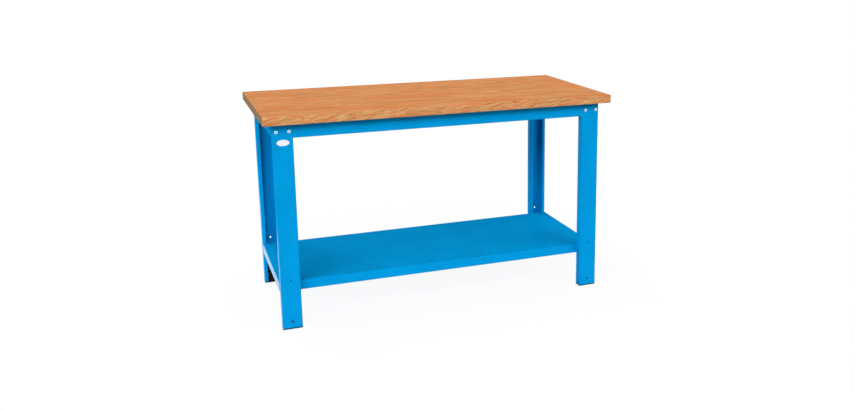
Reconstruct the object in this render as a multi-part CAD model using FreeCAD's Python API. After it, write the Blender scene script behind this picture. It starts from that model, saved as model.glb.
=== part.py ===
import FreeCAD, Part
import math
import os

os.makedirs("parts", exist_ok=True)

# Assembly table: a wooden worktop on a folded steel frame with a lower shelf, in millimetres.
# X runs along the table, the front is on the -Y side and the floor is at Z = 0.

# worktop
top_length = 1500.0
top_depth = 700.0
top_thickness = 35.0
top_edge_break = 1.5
table_height = 890.0
overhang = 40.0  # how far the worktop reaches past the legs, on every side

# legs: open channels with the broad web outwards and two narrow lips inwards
leg_width = 80.0
leg_depth = 40.0
leg_lip = 15.0
frame_sheet = 2.0
frame_bend = 2.0  # inside radius of every fold in the legs and rails
accessory_hole_height = 207.5
foot_hole_height = 32.0
leg_hole = 9.0

# rails under the worktop: a tall web, a broad top flange and a narrow bottom flange
rail_height = 60.0
rail_bottom_flange = 16.0
rail_lip_gap = 2.0  # from the top flange of a long rail to the lips of the leg
rail_end_gap = 2.0  # from the end of a long rail to the fold of the leg
notch_gap = 1.5  # below a long rail, where it passes through the side of the leg

# lower shelf: a shallow tray, folded down on all sides, with a hat-shaped stiffener under it
shelf_top_height = 190.0
shelf_flange = 40.0
shelf_return = 12.0
shelf_sheet = 1.5
shelf_bend = 1.5
corner_gap = 0.5  # between neighbouring flanges at the corners of the tray
stiffener_depth = 28.0
stiffener_base = 50.0
stiffener_flange = 15.0
stiffener_end_gap = 10.0

# feet: a plastic pad under each leg, with a hollow plug and a snap nub inside the channel
foot_pad = 5.0
foot_plug_height = 45.0
foot_wall = 3.0
foot_gap = 0.4
nub_sink = 0.8  # how far the nub stays below the face of the leg

# fasteners
rail_bolt = 8.0
rail_bolt_flats = 13.0
rail_bolt_head = 5.3
rail_nut_height = 6.5
rail_bolt_play = 0.5  # radial, in the holes
washer_width = 16.0
washer_thickness = 1.6
shelf_bolt = 6.0
shelf_bolt_flats = 10.0
shelf_bolt_head = 4.0
shelf_nut_height = 5.0
shelf_bolt_play = 0.3
bolt_end = 3.5  # thread that stands out past the nut
thread_gap = 0.3  # radial, between a thread and the nut, washer or board round it
chamfer_angle = 30.0  # of the corners of heads and nuts
chamfer_circle = 0.95  # of the width across flats
rail_bolt_drop = 33.0  # bolt centres below the underside of the worktop
rail_bolt_edge = 15.0  # bolt centres from the sides of the leg
screw_shank = 5.0
screw_tip = 1.2
screw_head = 12.0
screw_crown = 7.0
screw_head_height = 3.0
screw_bite = 21.0  # in the worktop
screw_spacing = 500.0

# oval name plate on the front left leg, left blank
badge_length = 50.0
badge_height = 25.0
badge_thickness = 0.8
badge_drop = 76.5  # centre below the underside of the worktop

# Washers are drawn with flat sides, and so are shanks and the holes they fill. Widths are across
# the flats, so a hole stays clear of the corners of its shank.
round_sides = 12
hex_sides = 6

past = 1.0  # how far a cutting shape runs past what it cuts

# places that follow from the sizes above
top_underside = table_height - top_thickness
leg_outer_x = top_length / 2 - overhang
leg_inner_x = leg_outer_x - leg_width
leg_centre_x = leg_outer_x - leg_width / 2
leg_face_y = top_depth / 2 - overhang
leg_back_y = leg_face_y - leg_depth
frame_fold = frame_bend + frame_sheet
rail_face_y = leg_face_y - frame_sheet
rail_underside = top_underside - rail_height
rail_top_flange = leg_depth - 2 * frame_sheet - rail_lip_gap
rail_bolt_height = top_underside - rail_bolt_drop
rail_bolt_xs = (leg_inner_x + rail_bolt_edge, leg_outer_x - rail_bolt_edge)
shelf_underside = shelf_top_height - shelf_flange
shelf_fold = shelf_bend + shelf_sheet
shelf_bolt_height = shelf_top_height - shelf_flange / 2
shelf_bolt_inset = (frame_fold + leg_lip) / 2
shelf_bolt_xs = (leg_inner_x + shelf_bolt_inset, leg_outer_x - shelf_bolt_inset)
screw_inset = (rail_top_flange + rail_bottom_flange) / 2
screw_seat = top_underside - frame_sheet

origin = FreeCAD.Vector(0, 0, 0)
up = FreeCAD.Vector(0, 0, 1)
frontwards = FreeCAD.Vector(0, -1, 0)
backwards = FreeCAD.Vector(0, 1, 0)


def at(x, y, z=0.0):
    return FreeCAD.Vector(x, y, z)


def left_of(direction):
    return at(-direction.y, direction.x)


def straight(start, end):
    return Part.LineSegment(start, end).toShape()


def bent_line(points, radii, to_space):
    """Edges along straight runs, with an arc of the given radius at each bend."""
    edges = []
    start = points[0]
    for corner, following, radius in zip(points[1:-1], points[2:], radii):
        into = (corner - start).normalize()
        away = (following - corner).normalize()
        inward = (away - into).normalize()
        reach = radius * math.tan(into.getAngle(away) / 2)
        arc_start = corner - into * reach
        arc_middle = corner + inward * (math.hypot(radius, reach) - radius)
        arc_end = corner + away * reach
        arc = Part.Arc(to_space(arc_start), to_space(arc_middle), to_space(arc_end))
        edges.append(straight(to_space(start), to_space(arc_start)))
        edges.append(arc.toShape())
        start = arc_end
    edges.append(straight(to_space(start), to_space(points[-1])))
    return edges


def folded(points, sheet, bend, to_space, run):
    """Sheet metal folded along a line, lying to the left of it, and drawn out along run."""
    sides = [(end - start).normalize() for start, end in zip(points[:-1], points[1:])]
    far = [points[0] + left_of(sides[0]) * sheet]
    near_radii = []
    far_radii = []
    for corner, into, away in zip(points[1:-1], sides[:-1], sides[1:]):
        step = (left_of(into) + left_of(away)) * (sheet / (1 + into.dot(away)))
        far.append(corner + step)
        turns_left = into.cross(away).z > 0
        near_radii.append(bend + sheet if turns_left else bend)
        far_radii.append(bend if turns_left else bend + sheet)
    far.append(points[-1] + left_of(sides[-1]) * sheet)
    edges = bent_line(points, near_radii, to_space)
    edges += bent_line(far, far_radii, to_space)
    edges.append(straight(to_space(points[0]), to_space(far[0])))
    edges.append(straight(to_space(points[-1]), to_space(far[-1])))
    outline = Part.Wire(Part.sortEdges(edges)[0])
    return Part.Face(outline).extrude(run)


def block(x0, x1, y0, y1, z0, z1):
    return Part.makeBox(x1 - x0, y1 - y0, z1 - z0, at(x0, y0, z0))


def cylinder(diameter, start, direction, length):
    return Part.makeCylinder(diameter / 2, length, start, direction)


def ring(sides, width, height):
    """The outline of a regular polygon across Z, with the given width across its flats."""
    half_step = math.pi / sides
    reach = width / 2 / math.cos(half_step)
    turns = [half_step * (2 * side + 1) for side in range(sides + 1)]
    return Part.makePolygon([at(math.cos(t) * reach, math.sin(t) * reach, height) for t in turns])


def prism(sides, width, start, end):
    return Part.Face(ring(sides, width, start)).extrude(at(0, 0, end - start))


def taper(sides, start_width, end_width, start, end):
    return Part.makeLoft([ring(sides, start_width, start), ring(sides, end_width, end)], True, True)


def drill(width, depth):
    """What is cut away for a shank, from the near face at Z = 0."""
    return prism(round_sides, width, -past, depth + past)


def placed(shape, where, direction):
    """A copy of what is drawn along +Z, with its origin at where and +Z along direction."""
    copy = shape.copy()
    copy.Placement = FreeCAD.Placement(where, FreeCAD.Rotation(up, direction))
    return copy


def upright_edges(shape, height):
    return [edge for edge in shape.Edges if edge.BoundBox.ZLength > height / 2]


def mirror_x(shape):
    return shape.mirror(origin, at(1, 0))


def mirror_y(shape):
    return shape.mirror(origin, at(0, 1))


def save(name, shape):
    shape.exportStep("parts/" + name + ".step")


def save_four(name, shape):
    """The front right piece is drawn, and the other three are its mirror images."""
    save("front_right_" + name, shape)
    save("front_left_" + name, mirror_x(shape))
    save("rear_right_" + name, mirror_y(shape))
    save("rear_left_" + name, mirror_x(mirror_y(shape)))


# Fasteners and their drills, drawn with the seat at Z = 0 and the head or nut above it.


def chamfered(head, flats, height):
    """The outer end of a hexagon head, chamfered at its corners and a little at its flats."""
    crown = chamfer_circle * flats
    foot = crown + 2 * height / math.tan(math.radians(chamfer_angle))
    return head.common(taper(2 * hex_sides, foot, crown, 0, height))


def hex_bolt(head, size, length):
    return head.fuse(prism(round_sides, size, -length, 0)).removeSplitter()


def hex_nut(size, flats, height):
    return prism(hex_sides, flats, 0, height).cut(drill(size + 2 * thread_gap, height))


def wood_screw():
    """Pan head below the seat, shank and tip above it."""
    length = screw_bite + frame_sheet
    head = taper(round_sides, screw_crown, screw_head, -screw_head_height, 0)
    shank = prism(round_sides, screw_shank, 0, length - screw_shank)
    tip = taper(round_sides, screw_shank, screw_tip, length - screw_shank, length)
    return head.fuse(shank).fuse(tip)


rail_bolt_drill = drill(rail_bolt + 2 * rail_bolt_play, frame_sheet)
shelf_bolt_drill = drill(shelf_bolt + 2 * shelf_bolt_play, frame_sheet)
screw_sheet_drill = drill(screw_shank + 2 * thread_gap, frame_sheet)
screw_wood_drill = drill(screw_shank + 2 * thread_gap, screw_bite)


# Worktop: one board, its edges just broken, with blind holes for the screws underneath.

front_screw_y = -rail_face_y + screw_inset
side_screw_x = leg_outer_x - screw_inset
front_screws = [at(step * screw_spacing, front_screw_y) for step in (-1, 0, 1)]
side_screws = [at(-side_screw_x, 0), at(side_screw_x, 0)]
rear_screws = [at(spot.x, -spot.y) for spot in front_screws]
all_screws = front_screws + side_screws + rear_screws

worktop = block(
    -top_length / 2, top_length / 2, -top_depth / 2, top_depth / 2, top_underside, table_height
)
worktop = worktop.makeChamfer(top_edge_break, worktop.Edges)
for spot in all_screws:
    worktop = worktop.cut(placed(screw_wood_drill, at(spot.x, spot.y, top_underside), up))
save("worktop", worktop)


# Legs

leg_line = [
    at(leg_inner_x + leg_lip, -leg_back_y),
    at(leg_inner_x, -leg_back_y),
    at(leg_inner_x, -leg_face_y),
    at(leg_outer_x, -leg_face_y),
    at(leg_outer_x, -leg_back_y),
    at(leg_outer_x - leg_lip, -leg_back_y),
]
leg = folded(
    leg_line,
    frame_sheet,
    frame_bend,
    lambda p: at(p.x, p.y, foot_pad),
    at(0, 0, top_underside - foot_pad),
)
# the inner side stops below the long rail, which runs on into the leg behind the web
notch = block(
    leg_inner_x - past,
    leg_inner_x + leg_lip + past,
    -rail_face_y,
    -leg_back_y + past,
    rail_underside - notch_gap,
    top_underside + past,
)
leg = leg.cut(notch)
for x in rail_bolt_xs:
    leg = leg.cut(placed(rail_bolt_drill, at(x, -leg_face_y, rail_bolt_height), backwards))
for x in shelf_bolt_xs:
    leg = leg.cut(placed(shelf_bolt_drill, at(x, -leg_back_y, shelf_bolt_height), frontwards))
for height in (accessory_hole_height, foot_hole_height):
    hole_start = at(leg_centre_x, -leg_face_y - past, height)
    leg = leg.cut(cylinder(leg_hole, hole_start, backwards, frame_sheet + 2 * past))
save_four("leg", leg)


# Long rails: channels that lie flat against the inside of the leg webs.

long_rail_end = leg_outer_x - frame_fold - rail_end_gap
long_rail_line = [
    at(-rail_face_y + rail_top_flange, top_underside),
    at(-rail_face_y, top_underside),
    at(-rail_face_y, rail_underside),
    at(-rail_face_y + rail_bottom_flange, rail_underside),
]
long_rail = folded(
    long_rail_line,
    frame_sheet,
    frame_bend,
    lambda p: at(-long_rail_end, p.x, p.y),
    at(2 * long_rail_end, 0),
)
for x in rail_bolt_xs:
    for side in (-1, 1):
        bolt_place = at(side * x, -rail_face_y, rail_bolt_height)
        long_rail = long_rail.cut(placed(rail_bolt_drill, bolt_place, backwards))
for spot in front_screws:
    long_rail = long_rail.cut(placed(screw_sheet_drill, at(spot.x, spot.y, screw_seat), up))
save("front_rail", long_rail)
save("rear_rail", mirror_y(long_rail))


# Side rails: level with the sides of the legs, with a tab at each end welded to a leg lip.

side_rail_end = leg_back_y - frame_fold
side_rail_line = [
    at(leg_outer_x - rail_bottom_flange, rail_underside),
    at(leg_outer_x, rail_underside),
    at(leg_outer_x, top_underside),
    at(leg_outer_x - rail_top_flange, top_underside),
]
side_rail = folded(
    side_rail_line,
    frame_sheet,
    frame_bend,
    lambda p: at(p.x, -side_rail_end, p.y),
    at(0, 2 * side_rail_end),
)
tab_line = [
    at(leg_outer_x, side_rail_end - frame_sheet),
    at(leg_outer_x, leg_back_y),
    at(leg_outer_x - leg_lip, leg_back_y),
]
tab = folded(
    tab_line,
    frame_sheet,
    frame_bend,
    lambda p: at(p.x, p.y, rail_underside + frame_fold),
    at(0, 0, rail_height - 2 * frame_fold),
)
side_rail = side_rail.fuse(tab).fuse(mirror_y(tab)).removeSplitter()
side_rail = side_rail.cut(placed(screw_sheet_drill, at(side_screw_x, 0, screw_seat), up))
save("right_side_rail", side_rail)
save("left_side_rail", mirror_x(side_rail))


# Lower shelf: it stands between the legs, with its long flanges against their lips.

shelf_flat_x = leg_outer_x - shelf_fold
shelf_flat_y = leg_back_y - shelf_fold
shelf = block(
    -shelf_flat_x,
    shelf_flat_x,
    -shelf_flat_y,
    shelf_flat_y,
    shelf_top_height - shelf_sheet,
    shelf_top_height,
)
long_flange_end = shelf_flat_x - corner_gap
long_flange_line = [
    at(-shelf_flat_y + shelf_sheet, shelf_top_height),
    at(-leg_back_y, shelf_top_height),
    at(-leg_back_y, shelf_underside),
    at(-leg_back_y + shelf_return, shelf_underside),
]
long_flange = folded(
    long_flange_line,
    shelf_sheet,
    shelf_bend,
    lambda p: at(-long_flange_end, p.x, p.y),
    at(2 * long_flange_end, 0),
)
end_flange_end = shelf_flat_y - corner_gap
end_flange_line = [
    at(leg_outer_x, shelf_underside),
    at(leg_outer_x, shelf_top_height),
    at(shelf_flat_x - shelf_sheet, shelf_top_height),
]
end_flange = folded(
    end_flange_line,
    shelf_sheet,
    shelf_bend,
    lambda p: at(p.x, -end_flange_end, p.y),
    at(0, 2 * end_flange_end),
)
for flange in (long_flange, mirror_y(long_flange), end_flange, mirror_x(end_flange)):
    shelf = shelf.fuse(flange)
shelf = shelf.removeSplitter()
for x in shelf_bolt_xs:
    for side in (-1, 1):
        for edge, direction in ((-leg_back_y, backwards), (leg_back_y, frontwards)):
            bolt_place = at(side * x, edge, shelf_bolt_height)
            shelf = shelf.cut(placed(shelf_bolt_drill, bolt_place, direction))
save("lower_shelf", shelf)

stiffener_end = leg_outer_x - shelf_sheet - stiffener_end_gap
stiffener_side = stiffener_base / 2
stiffener_seat = shelf_top_height - shelf_sheet
stiffener_line = [
    at(stiffener_side + stiffener_flange, stiffener_seat),
    at(stiffener_side, stiffener_seat),
    at(stiffener_side, stiffener_seat - stiffener_depth),
    at(-stiffener_side, stiffener_seat - stiffener_depth),
    at(-stiffener_side, stiffener_seat),
    at(-stiffener_side - stiffener_flange, stiffener_seat),
]
stiffener = folded(
    stiffener_line,
    shelf_sheet,
    shelf_bend,
    lambda p: at(-stiffener_end, p.x, p.y),
    at(2 * stiffener_end, 0),
)
save("shelf_stiffener", stiffener)


# Feet: the pad takes the leg's outline, and the plug fills the channel above it.

pad = block(leg_inner_x, leg_outer_x, -leg_face_y, -leg_back_y, 0, foot_pad)
pad = pad.makeFillet(frame_fold, upright_edges(pad, foot_pad))
plug_edge = frame_sheet + foot_gap
plug_top = foot_pad + foot_plug_height
plug = block(
    leg_inner_x + plug_edge,
    leg_outer_x - plug_edge,
    -leg_face_y + plug_edge,
    -leg_back_y - plug_edge,
    foot_pad,
    plug_top,
)
plug = plug.makeChamfer(frame_bend, upright_edges(plug, foot_plug_height))
hollow_edge = plug_edge + foot_wall
hollow = block(
    leg_inner_x + hollow_edge,
    leg_outer_x - hollow_edge,
    -leg_face_y + hollow_edge,
    -leg_back_y - hollow_edge,
    foot_pad + foot_wall,
    plug_top + past,
)
rib = block(
    leg_centre_x - foot_wall / 2,
    leg_centre_x + foot_wall / 2,
    -leg_face_y + hollow_edge,
    -leg_back_y - hollow_edge,
    foot_pad + foot_wall,
    plug_top - foot_wall,
)
nub_start = at(leg_centre_x, -leg_face_y + nub_sink, foot_hole_height)
nub = cylinder(leg_hole - 2 * thread_gap, nub_start, backwards, hollow_edge)
save_four("foot", pad.fuse(plug.cut(hollow)).fuse(rib).fuse(nub).removeSplitter())


# Rail bolts: two through each leg, with the washer and nut inside the rail.

rail_washer_y = -rail_face_y + frame_sheet
rail_nut_y = rail_washer_y + washer_thickness
rail_bolt_length = leg_face_y + rail_nut_y + rail_nut_height + bolt_end
rail_head = prism(hex_sides, rail_bolt_flats, 0, rail_bolt_head)
rail_head = chamfered(rail_head, rail_bolt_flats, rail_bolt_head)
one_rail_bolt = hex_bolt(rail_head, rail_bolt, rail_bolt_length)
one_rail_nut = hex_nut(rail_bolt, rail_bolt_flats, rail_nut_height)
one_washer = prism(round_sides, washer_width, 0, washer_thickness)
one_washer = one_washer.cut(drill(rail_bolt + 2 * thread_gap, washer_thickness))
bolts = []
washers = []
nuts = []
for side in (-1, 1):
    for x in rail_bolt_xs:
        bolts.append(placed(one_rail_bolt, at(side * x, -leg_face_y, rail_bolt_height), frontwards))
        washers.append(placed(one_washer, at(side * x, rail_washer_y, rail_bolt_height), backwards))
        nuts.append(placed(one_rail_nut, at(side * x, rail_nut_y, rail_bolt_height), backwards))
for name, pieces in (("bolts", bolts), ("washers", washers), ("nuts", nuts)):
    save("front_rail_" + name, Part.makeCompound(pieces))
    save("rear_rail_" + name, mirror_y(Part.makeCompound(pieces)))


# Shelf bolts: the heads are inside the legs and the nuts inside the shelf flanges.

shelf_bolt_y = -leg_back_y - frame_sheet
shelf_nut_y = -leg_back_y + shelf_sheet
shelf_bolt_length = shelf_nut_y - shelf_bolt_y + shelf_nut_height + bolt_end
shelf_head = prism(hex_sides, shelf_bolt_flats, 0, shelf_bolt_head)
one_shelf_bolt = hex_bolt(shelf_head, shelf_bolt, shelf_bolt_length)
one_shelf_nut = hex_nut(shelf_bolt, shelf_bolt_flats, shelf_nut_height)
front_bolts = []
front_nuts = []
for side in (-1, 1):
    for x in shelf_bolt_xs:
        bolt_place = at(side * x, shelf_bolt_y, shelf_bolt_height)
        nut_place = at(side * x, shelf_nut_y, shelf_bolt_height)
        front_bolts.append(placed(one_shelf_bolt, bolt_place, frontwards))
        front_nuts.append(placed(one_shelf_nut, nut_place, backwards))
rear_bolts = [mirror_y(bolt) for bolt in front_bolts]
rear_nuts = [mirror_y(nut) for nut in front_nuts]
save("shelf_bolts", Part.makeCompound(front_bolts + rear_bolts))
save("shelf_nuts", Part.makeCompound(front_nuts + rear_nuts))


# Worktop screws, driven up through the top flanges of the rails.

screws = [placed(wood_screw(), at(spot.x, spot.y, screw_seat), up) for spot in all_screws]
save("worktop_screws", Part.makeCompound(screws))


# Name plate: a thin oval with nothing printed on it.

plate_centre = at(-leg_centre_x, -leg_face_y, top_underside - badge_drop)
oval = Part.Wire(Part.Ellipse(origin, badge_length / 2, badge_height / 2).toShape())
plate = Part.Face(oval).extrude(at(0, 0, badge_thickness))
save("badge_plate", placed(plate, plate_centre, frontwards))
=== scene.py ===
import math

import bmesh
import bpy
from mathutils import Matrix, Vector


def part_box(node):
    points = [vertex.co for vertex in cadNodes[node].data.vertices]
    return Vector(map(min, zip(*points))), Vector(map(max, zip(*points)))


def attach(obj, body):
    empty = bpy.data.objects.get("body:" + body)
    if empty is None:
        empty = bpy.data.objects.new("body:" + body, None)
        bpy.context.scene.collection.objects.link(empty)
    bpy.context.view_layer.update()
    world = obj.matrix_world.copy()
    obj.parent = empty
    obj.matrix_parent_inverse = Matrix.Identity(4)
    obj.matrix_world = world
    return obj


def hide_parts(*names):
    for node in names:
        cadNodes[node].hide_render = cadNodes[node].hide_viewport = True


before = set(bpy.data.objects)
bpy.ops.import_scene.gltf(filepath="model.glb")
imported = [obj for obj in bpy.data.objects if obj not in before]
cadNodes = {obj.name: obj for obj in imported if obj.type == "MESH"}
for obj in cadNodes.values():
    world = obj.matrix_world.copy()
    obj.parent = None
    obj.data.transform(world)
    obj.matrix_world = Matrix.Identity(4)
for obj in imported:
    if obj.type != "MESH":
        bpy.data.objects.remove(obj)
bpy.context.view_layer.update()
print("frame loaded:", len(cadNodes), "nodes")


class Wire:
    # an output of a shader node; sums with it add Math nodes
    def __init__(self, finish, socket):
        self.finish = finish
        self.socket = socket

    def out(self, name):  # another output of the same node
        return Wire(self.finish, self.socket.node.outputs[name])

    def maths(self, operation, *values):
        return self.finish.add("Math", {"operation": operation}, dict(enumerate(values)))

    def __add__(self, other):
        return self.maths("ADD", self, other)

    def __sub__(self, other):
        return self.maths("SUBTRACT", self, other)

    def __rsub__(self, other):
        return self.maths("SUBTRACT", other, self)

    def __mul__(self, other):
        return self.maths("MULTIPLY", self, other)

    __radd__ = __add__
    __rmul__ = __mul__

    def over(self, level):  # 1 where this is above level
        return self.maths("GREATER_THAN", self, level)

    def size(self):
        return self.maths("ABSOLUTE", self)


class Finish:
    # a material or world, and the one way its nodes are added
    def __init__(self, owner):
        self.owner = owner
        owner.use_nodes = True
        self.tree = owner.node_tree
        self.tree.nodes.clear()

    def add(self, kind, settings=None, sockets=None, output=0):
        node = self.tree.nodes.new("ShaderNode" + kind)
        for name, value in (settings or {}).items():
            if name == "stops":
                stops = node.color_ramp.elements
                while len(stops) < len(value):
                    stops.new(0.5)
                for stop, (position, colour) in zip(stops, value):
                    stop.position = position
                    stop.color = colour
            else:
                setattr(node, name, value)
        for name, value in (sockets or {}).items():
            if isinstance(value, Wire):
                self.tree.links.new(value.socket, node.inputs[name])
            else:
                node.inputs[name].default_value = value
        return Wire(self, node.outputs[output]) if node.outputs else None

    def place(self):  # metres from the table's origin
        return self.add("TexCoord", output="Object")

    def axes(self, vector):  # out("X"), out("Y") and out("Z") of it
        return self.add("SeparateXYZ", None, {0: vector})

    def facing(self):
        return self.axes(self.add("NewGeometry", output="True Normal"))

    def noise(self, place, cells, detail, roughness=0.5):  # cells to the metre
        return self.add("TexNoise", None, {
            "Vector": place, "Scale": cells, "Detail": detail, "Roughness": roughness,
        })

    def grain(self, place, cells, detail, roughness=0.5):  # cells to the metre along X, Y and Z
        drawn = self.add("VectorMath", {"operation": "MULTIPLY"}, {0: place, 1: cells})
        return self.noise(drawn, 1.0, detail, roughness)

    def ramp(self, value, stops):
        return self.add("ValToRGB", {"stops": stops}, {"Fac": value})

    def fade(self, value, ends, low=0.0, high=1.0):  # low at the first end, high at the second
        return self.add("MapRange", None, {
            "Value": value, "From Min": ends[0], "From Max": ends[1], "To Min": low, "To Max": high,
        })

    def blend(self, mask, first, second):  # of two colours
        return self.add("Mix", {"data_type": "RGBA"}, {0: mask, 6: first, 7: second}, 2)

    def mixed(self, mask, first, second):  # of two shaders
        return self.add("MixShader", None, {0: mask, 1: first, 2: second})

    def bump(self, height, strength, depth):
        return self.add("Bump", None, {"Strength": strength, "Distance": depth, "Height": height})

    def principled(self, sockets):
        surface = self.add("BsdfPrincipled", None, sockets)
        self.add("OutputMaterial", None, {"Surface": surface})
        return self.owner


def newMaterial(name):
    return Finish(bpy.data.materials.new(name))


def shade(red, green, blue):  # screen colour, 0 to 255, to what a shader takes
    def linear(level):
        level /= 255
        return level / 12.92 if level <= 0.04045 else ((level + 0.055) / 1.055) ** 2.4
    return (linear(red), linear(green), linear(blue), 1.0)


def oiledBeech():
    look = {
        "levelAbove": 0.8, "endAbove": 0.6,  # how squarely a face points up, or along the board
        # top: greyish, plain, pale and plain again, then rosy flames and dark lines
        "topStops": (
            (0.38, shade(203, 143, 90)), (0.46, shade(213, 144, 86)),
            (0.54, shade(230, 164, 110)), (0.62, shade(213, 143, 85)),
        ),
        "bandShare": 0.62, "streakShare": 0.38,
        "rosy": shade(222, 131, 70), "rosyEnds": (0.5, 0.58), "rosyShare": 0.7,
        "line": shade(190, 114, 58), "lineEnds": (0.52, 0.68), "lineShare": 0.55,
        # long edges: dark, brown, plain, pale and yellowish, then rosy patches
        "edgeStops": (
            (0.3, shade(154, 94, 50)), (0.42, shade(184, 126, 72)), (0.5, shade(210, 148, 90)),
            (0.57, shade(236, 186, 130)), (0.68, shade(208, 172, 104)),
        ),
        "climb": 0.11, "arch": 0.04,
        "patch": shade(234, 130, 84), "patchEnds": (0.52, 0.6), "patchShare": 0.78,
        # ends: dark and pale
        "endStops": ((0.3, shade(124, 100, 74)), (0.7, shade(162, 128, 96))),
        "pore": shade(150, 92, 52), "poreAbove": 0.62, "poreShare": 0.4,
        "dullness": 0.42, "bandDulls": 0.15, "poreDulls": 0.1, "oil": 0.04, "oilDullness": 0.15,
        "relief": 0.25, "reliefDepth": 0.0004, "poreRelief": 0.5,
        # cells to the metre along the board, across it and through it, then detail and roughness
        "fine": ((12, 330, 330), 3, 0.6), "pores": ((60, 1500, 1500), 1),
        "bands": ((5, 30, 30), 3), "streaks": ((12, 120, 120), 3, 0.6), "flame": ((3.5, 40, 40), 2),
        "wander": ((5, 5, 5), 2), "arches": ((20, 2, 520), 3, 0.6), "patches": ((20, 2, 380), 2),
        "endLines": ((3, 150, 10), 3, 0.6),
    }
    wood = newMaterial("oiledBeech")
    place = wood.place()
    spot = wood.axes(place)
    facing = wood.facing()
    upMask = facing.out("Z").size().over(look["levelAbove"])
    endMask = facing.out("X").size().over(look["endAbove"])
    fine = wood.grain(place, *look["fine"])
    pores = wood.grain(place, *look["pores"])

    # top: broad bands with streaks, flames and fine lines in them
    bands = wood.grain(place, *look["bands"])
    streaks = wood.grain(place, *look["streaks"])
    flame = wood.grain(place, *look["flame"])
    top = wood.ramp(bands * look["bandShare"] + streaks * look["streakShare"], look["topStops"])
    top = wood.blend(wood.fade(flame, look["rosyEnds"], high=look["rosyShare"]), top, look["rosy"])
    top = wood.blend(wood.fade(fine, look["lineEnds"], high=look["lineShare"]), top, look["line"])

    # long edges: thin lines that climb to the right and arch up and down
    wander = wood.grain(place, *look["wander"])
    climb = spot.out("Z") - spot.out("X") * look["climb"] + wander * look["arch"]
    tilted = wood.add("CombineXYZ", None, {0: spot.out("X"), 1: spot.out("Y"), 2: climb})
    patches = wood.grain(tilted, *look["patches"])
    edge = wood.ramp(wood.grain(tilted, *look["arches"]), look["edgeStops"])
    edge = wood.blend(wood.fade(patches, look["patchEnds"], high=look["patchShare"]), edge, look["patch"])

    # ends: upright lines
    end = wood.ramp(wood.grain(place, *look["endLines"]), look["endStops"])

    whole = wood.blend(endMask, wood.blend(upMask, edge, top), end)
    whole = wood.blend(pores.over(look["poreAbove"]) * look["poreShare"], whole, look["pore"])
    return wood.principled({
        "Base Color": whole,
        "Roughness": look["dullness"] + bands * look["bandDulls"] + pores * look["poreDulls"],
        "Normal": wood.bump(fine + pores * look["poreRelief"], look["relief"], look["reliefDepth"]),
        "Specular IOR Level": 0.0,
        "Coat Weight": (bands + 1) * look["oil"],
        "Coat Roughness": look["oilDullness"],
    })


def bluePowderCoat(name, gloss):
    look = {
        "blue": shade(0, 156, 222), "deeper": shade(0, 150, 215), "cloudEnds": (0.35, 0.65),
        "scuff": shade(70, 170, 220), "scuffAbove": 0.66, "scuffShare": 0.06, "scuffDulls": 0.1,
        "levelAbove": 0.9, "levelLoses": 0.75, "haze": 0.05,
        # the painted low sheen is full below 0.36 m and gone above 0.44 m
        "glossAngle": (0.76, 0.9), "paintedSheenHeight": (0.44, 0.36), "glossDullness": 0.1,
        "dullness": 0.3, "cloudDulls": 0.08,
        "relief": 0.4, "reliefDepth": 0.0003, "gritRelief": 0.3,
        # cells to the metre, and detail
        "cloud": (7, 2), "peel": (620, 1), "grit": (2600, 1), "scratches": ((14, 420, 420), 2),
    }
    coat = newMaterial(name)
    place = coat.place()
    cloud = coat.noise(place, *look["cloud"])
    peel = coat.noise(place, *look["peel"])
    grit = coat.noise(place, *look["grit"])
    level = coat.facing().out("Z").over(look["levelAbove"])
    rubbed = coat.grain(place, *look["scratches"]).over(look["scuffAbove"]) * level
    blue = coat.blend(coat.fade(cloud, look["cloudEnds"]), look["deeper"], look["blue"])
    blue = coat.blend(rubbed * look["scuffShare"], blue, look["scuff"])
    # painted sheen: extra gloss at a shallow angle only low down, standing in for brighter light near the
    # floor, and less on level faces, which goods have dulled
    shallow = coat.fade(coat.add("LayerWeight", output="Facing"), look["glossAngle"])
    low = coat.fade(coat.axes(place).out("Z"), look["paintedSheenHeight"])
    # painted low sheen, scaled by each coat's strength of it
    shine = shallow * low * (1 - level * look["levelLoses"]) * gloss
    return coat.principled({
        "Base Color": blue,
        "Roughness": look["dullness"] + cloud * look["cloudDulls"] + rubbed * look["scuffDulls"],
        "Normal": coat.bump(peel + grit * look["gritRelief"], look["relief"], look["reliefDepth"]),
        "Specular IOR Level": 0.0,
        # haze at most angles, plus the painted low sheen at shallow ones
        "Coat Weight": (1 - shallow) * look["haze"] + shine,
        "Coat Roughness": look["glossDullness"],
    })


def footPlastic():
    look = {
        "stops": ((0.3, shade(8, 8, 9)), (0.7, shade(15, 15, 16))),  # black and slightly worn
        "dullness": 0.5, "hazeDulls": 0.2, "shine": 0.12, "relief": 0.3, "reliefDepth": 0.0003,
        "haze": (60, 3), "pits": (1800, 2),  # cells to the metre, and detail
    }
    plastic = newMaterial("mouldedFootPlastic")
    place = plastic.place()
    haze = plastic.noise(place, *look["haze"])
    pits = plastic.noise(place, *look["pits"])
    return plastic.principled({
        "Base Color": plastic.ramp(haze, look["stops"]),
        "Roughness": look["dullness"] + haze * look["hazeDulls"],
        "Normal": plastic.bump(pits, look["relief"], look["reliefDepth"]),
        "Specular IOR Level": look["shine"],
    })


def brightZinc():
    look = {
        "stops": ((0.35, shade(152, 188, 214)), (0.65, shade(188, 217, 235))),  # blue-grey and silver
        "dullness": 0.22, "bloomDulls": 0.16, "relief": 0.15, "reliefDepth": 0.0001,
        "bloom": (240, 3), "turned": ((2600, 700, 2600), 1),  # cells to the metre, and detail
    }
    zinc = newMaterial("brightZinc")
    place = zinc.place()
    bloom = zinc.noise(place, *look["bloom"])
    turned = zinc.grain(place, *look["turned"])
    return zinc.principled({
        "Base Color": zinc.ramp(bloom, look["stops"]),
        "Metallic": 1.0,
        "Roughness": look["dullness"] + bloom * look["bloomDulls"],
        "Normal": zinc.bump(turned, look["relief"], look["reliefDepth"]),
    })


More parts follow.
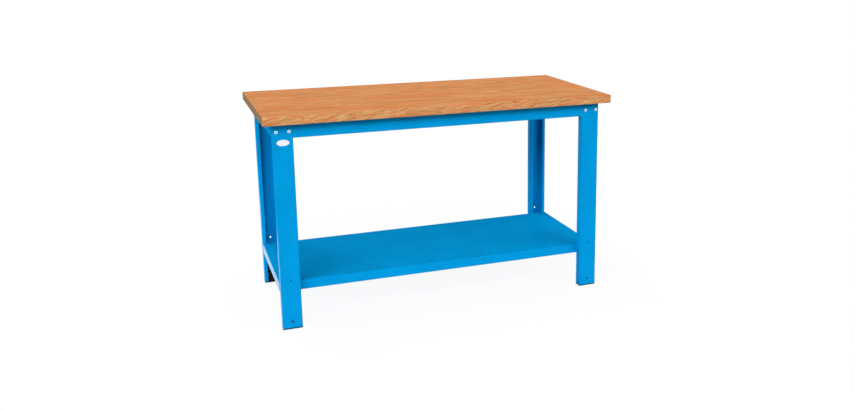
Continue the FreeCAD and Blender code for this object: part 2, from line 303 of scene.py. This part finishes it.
def plateGloss():
    look = {
        "stops": ((0.3, shade(232, 236, 240)), (0.7, shade(244, 246, 248))),  # white and brighter
        "dullness": 0.14, "cloudDulls": 0.1, "relief": 0.05, "reliefDepth": 0.0002,
        "cloud": (90, 2), "fine": (1500, 1),  # cells to the metre, and detail
    }
    plate = newMaterial("blankPlateGloss")
    place = plate.place()
    cloud = plate.noise(place, *look["cloud"])
    fine = plate.noise(place, *look["fine"])
    return plate.principled({
        "Base Color": plate.ramp(cloud, look["stops"]),
        "Roughness": look["dullness"] + cloud * look["cloudDulls"],
        "Normal": plate.bump(fine, look["relief"], look["reliefDepth"]),
    })


# strength of the painted low sheen on the frame and on the shelf
paintedSheenOf = {"frame": 0.46, "shelf": 0.9}
finishes = {
    "worktop_wood": oiledBeech(),
    "blue_paint": bluePowderCoat("bluePowderCoat", paintedSheenOf["frame"]),
    "foot_plastic": footPlastic(),
    "zinc_plate": brightZinc(),
    "blank_plate": plateGloss(),
}
for part in cadNodes.values():
    for slot in part.material_slots:
        slot.material = finishes[slot.material.name.split(".")[0]]
cadNodes["lower_shelf"].material_slots[0].material = bluePowderCoat("shelfPowderCoat", paintedSheenOf["shelf"])
print("finishes on:", ", ".join(finishes))


def putInScene(name, data):
    made = bpy.data.objects.new(name, data)
    bpy.context.scene.collection.objects.link(made)
    return made


def makePiece(name, mesh, sharpAbove, slotName, standsFor):
    bmesh.ops.recalc_face_normals(mesh, faces=mesh.faces)
    for face in mesh.faces:
        face.smooth = True
    for edge in mesh.edges:  # smooth across gentle bends, sharp across the rest
        edge.smooth = edge.calc_face_angle() < math.radians(sharpAbove)
    data = bpy.data.meshes.new(name)
    mesh.to_mesh(data)
    mesh.free()
    data.materials.append(finishes[slotName])
    piece = putInScene(name, data)
    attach(piece, "root")
    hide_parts(standsFor)


def joinRings(mesh, rings):  # a closed skin from the first ring to the last
    for lower, upper in zip(rings, rings[1:]):
        for step in range(len(lower)):
            after = (step + 1) % len(lower)
            mesh.faces.new((lower[step], lower[after], upper[after], upper[step]))
    mesh.faces.new(rings[0])
    mesh.faces.new(rings[-1])


railBolt = {
    "flats": 0.013, "rise": 0.0013, "crown": 0.00617, "chamfer": 30,
    "seatGap": 0.0003, "seatInset": 0.0002, "seatEdge": 0.0003,
    "shank": 0.004, "plain": 0.006, "thread": 0.00125, "threadDepth": 0.0006,
    "spacing": 0.05, "steps": 48, "sharpAbove": 25,
    "domeRings": (0.1, 0.3, 0.5, 0.7, 0.85, 1.0),
    # along one turn of the thread and how deep it is there, both as shares
    "threadRings": ((0.0, 0.0), (0.45, 1.0), (0.55, 1.0)),
}


def addBolt(mesh, spec, place):
    # rings from the middle of the head outwards, down its flats and along the thread
    top = place["head"] - spec["rise"]
    half = spec["flats"] / 2
    pitch = spec["thread"]

    def ring(radius, height):
        made = []
        for step in range(spec["steps"]):
            turn = 2 * math.pi * step / spec["steps"]
            r = radius(turn)
            made.append(mesh.verts.new((
                place["x"] + r * math.cos(turn),
                place["out"] * (place["face"] + height(r)),
                place["z"] + r * math.sin(turn),
            )))
        return made

    def circle(radius, height):
        return ring(lambda turn: radius, lambda r: height)

    def hexagon(turn):
        return half / math.cos((turn + math.pi / 6) % (math.pi / 3) - math.pi / 6)

    def chamfer(r):
        return top - max(0, r - spec["crown"]) * math.tan(math.radians(spec["chamfer"]))

    def dome(r):
        return place["head"] - spec["rise"] * (r / spec["crown"]) ** 2

    rings = [ring(lambda turn: spec["crown"] * share, dome) for share in spec["domeRings"]]
    rings += [
        ring(hexagon, chamfer),
        ring(hexagon, lambda r: spec["seatGap"]),
        circle(half - spec["seatInset"], spec["seatGap"]),
        circle(half - spec["seatEdge"], 0.0),
        circle(spec["shank"], 0.0),
    ]
    along = -spec["plain"]
    while along > pitch - place["length"]:
        for drop, cut in spec["threadRings"]:
            rings.append(circle(spec["shank"] - cut * spec["threadDepth"], along - drop * pitch))
        along -= pitch
    rings.append(circle(spec["shank"] - spec["threadDepth"], -place["length"]))
    joinRings(mesh, rings)


def boltRow(row, out):  # the four bolts of one long rail; out is -1 at the front and 1 at the rear
    node = row + "_rail_bolts"
    low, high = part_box(node)
    face = max(abs(corner.y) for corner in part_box(row + "_left_leg"))
    tip, crownTop = sorted((abs(low.y), abs(high.y)))
    outer = high.x - railBolt["flats"] / 2
    inner = outer - railBolt["spacing"]
    mesh = bmesh.new()
    for x in (-outer, -inner, inner, outer):
        addBolt(mesh, railBolt, {
            "x": x, "z": (low.z + high.z) / 2, "out": out, "face": face,
            "head": crownTop - face, "length": face - tip,
        })
    makePiece(row + "-rail-bolts-detailed", mesh, railBolt["sharpAbove"], "zinc_plate", node)


boltRow("front", -1)
boltRow("rear", 1)
print("rail bolts made")


badge = {
    "steps": 96, "sharpAbove": 50,
    # inset from the outline, and height off the leg as a share of the thickness
    "rings": (
        (0.0, 0.0), (0.0, 0.5), (0.0002, 0.85), (0.0005, 1.0), (0.0010, 1.0),
        (0.0013, 0.8), (0.0016, 0.6), (0.0050, 0.72), (0.0090, 0.8),
    ),
}


def domedPlate(spec):
    low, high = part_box("badge_plate")
    centre = (low + high) / 2
    mesh = bmesh.new()
    rings = []
    for inset, rise in spec["rings"]:
        oval = []
        for step in range(spec["steps"]):
            turn = 2 * math.pi * step / spec["steps"]
            oval.append(mesh.verts.new((
                centre.x + ((high.x - low.x) / 2 - inset) * math.cos(turn),
                high.y - (high.y - low.y) * rise,
                centre.z + ((high.z - low.z) / 2 - inset) * math.sin(turn),
            )))
        rings.append(oval)
    joinRings(mesh, rings)
    makePiece("namePlate-domed", mesh, spec["sharpAbove"], "blank_plate", "badge_plate")


domedPlate(badge)
print("plate made")


softEdges = {
    "widths": {"worktop": 0.0009, "foot": 0.0006, "leg": 0.0004, "rail": 0.0004, "shelf": 0.0003},
    "segments": 2, "sharpAbove": 35, "weldWithin": 0.00002,
}
for name, part in cadNodes.items():
    kind = name.split("_")[-1]
    if kind in softEdges["widths"]:
        weld = part.modifiers.new("weld", "WELD")
        weld.merge_threshold = softEdges["weldWithin"]
        bevel = part.modifiers.new("softEdges", "BEVEL")
        bevel.width = softEdges["widths"][kind]
        bevel.segments = softEdges["segments"]
        bevel.limit_method = "ANGLE"
        bevel.angle_limit = math.radians(softEdges["sharpAbove"])
        bevel.harden_normals = True
print("edges softened")


def seenPart(finish):  # 1 for what the camera sees, also in gloss and through glass
    path = finish.add("LightPath")
    seen = path + path.out("Is Glossy Ray") + path.out("Is Transmission Ray")
    return seen.maths("MINIMUM", seen, 1.0)


studioFloor = {
    "halfWidth": 45, "squares": 8, "below": 0.0005,
    "white": (1, 1, 1, 1), "glow": 0.92, "shadowEnds": (0.8, 1.6),
    "bounceNear": shade(216, 222, 232), "bounceFar": shade(127, 130, 135), "bounceEnds": (1.0, 2.4),
}


def studioPaper(look):
    paper = newMaterial("studioPaper")
    away = paper.add("VectorMath", {"operation": "LENGTH"}, {0: paper.place()}, "Value")
    # seen: white, with the table's shadow faintly on it; unseen: what it throws back at the table
    shadowed = paper.add("BsdfDiffuse", None, {"Color": look["white"]})
    glow = paper.add("Emission", None, {"Color": look["white"], "Strength": 1.0})
    shown = paper.mixed(paper.fade(away, look["shadowEnds"], look["glow"]), shadowed, glow)
    near = paper.add("BsdfDiffuse", None, {"Color": look["bounceNear"]})
    far = paper.add("BsdfDiffuse", None, {"Color": look["bounceFar"]})
    bounce = paper.mixed(paper.fade(away, look["bounceEnds"]), near, far)
    paper.add("OutputMaterial", None, {"Surface": paper.mixed(seenPart(paper), bounce, shown)})
    return paper.owner


def layFloor(spec):
    squares = spec["squares"]
    mesh = bmesh.new()
    bmesh.ops.create_grid(mesh, x_segments=squares, y_segments=squares, size=spec["halfWidth"])
    data = bpy.data.meshes.new("floor")
    mesh.to_mesh(data)
    mesh.free()
    data.materials.append(studioPaper(spec))
    floor = putInScene("floor", data)
    floor.location.z = -spec["below"]


def studioWorld():
    look = {
        "horizon": (1, 1, 1, 1), "overhead": shade(96, 98, 101), "fill": shade(108, 110, 112),
        "horizonEnds": (0.12, 0.17),
    }
    world = bpy.data.worlds.new("studio")
    bpy.context.scene.world = world
    sky = Finish(world)
    height = sky.axes(sky.add("TexCoord", output="Generated")).out("Z")
    horizon = sky.add("Background", None, {"Color": look["horizon"], "Strength": 1.0})
    overhead = sky.add("Background", None, {"Color": look["overhead"], "Strength": 1.0})
    fill = sky.add("Background", None, {"Color": look["fill"], "Strength": 1.0})
    wall = sky.mixed(sky.fade(height, look["horizonEnds"]), horizon, overhead)
    sky.add("OutputWorld", None, {"Surface": sky.mixed(seenPart(sky), fill, wall)})


lamps = {
    "keyLamp": {"at": (-6.2, -6.9, 5.8), "aim": (0, 0, 0.6), "size": (8.5, 3.2), "watts": 805},
    "fillLamp": {"at": (5.2, -6.4, 4.9), "aim": (0, 0, 0.6), "size": (7.0, 3.0), "watts": 345},
    "sideLamp": {"at": (-3.4, 0.3, 0.7), "aim": (0, 0, 0.4), "size": (3.0, 1.2), "watts": 2},
    "lowLamp": {"at": (-1.45, 0.05, 0.16), "aim": (0, 0.05, 0.16), "size": (0.9, 0.16), "watts": 2},
    "rightLamp": {"at": (3.4, 0.2, 0.8), "aim": (0, 0, 0.5), "size": (3.0, 1.2), "watts": 16},
    "topLamp": {"at": (0.5, 0.3, 4.6), "aim": (0.5, 0.3, 0.8), "size": (2.4, 1.6), "watts": 36},
    "backLamp": {"at": (-3.0, 5.6, 3.2), "aim": (0, 0, 0.5), "size": (3.6, 2.4), "watts": 200},
}


def hangLamp(name, lamp):
    light = bpy.data.lights.new(name, "AREA")
    light.shape = "RECTANGLE"
    light.size, light.size_y = lamp["size"]
    light.energy = lamp["watts"]
    away = Vector(lamp["at"]) - Vector(lamp["aim"])
    holder = putInScene(name, light)
    holder.location = lamp["at"]
    holder.rotation_euler = away.to_track_quat("Z", "Y").to_euler()
    holder.visible_camera = False


eye = {
    "at": (-1.137, -3.878, 1.525), "turn": 21.9, "down": 12.5,
    "lens": 38.4, "shiftX": -0.1, "shiftY": -0.065,
}


def setCamera(spec):
    data = bpy.data.cameras.new("camera")
    data.lens = spec["lens"]
    data.shift_x = spec["shiftX"]
    data.shift_y = spec["shiftY"]
    camera = putInScene("camera", data)
    camera.location = spec["at"]
    camera.rotation_euler = (math.radians(90 - spec["down"]), 0, math.radians(-spec["turn"]))
    bpy.context.scene.camera = camera


layFloor(studioFloor)
studioWorld()
for name, lamp in lamps.items():
    hangLamp(name, lamp)
setCamera(eye)
bpy.context.scene.view_settings.view_transform = "Standard"
print("studio and camera ready")
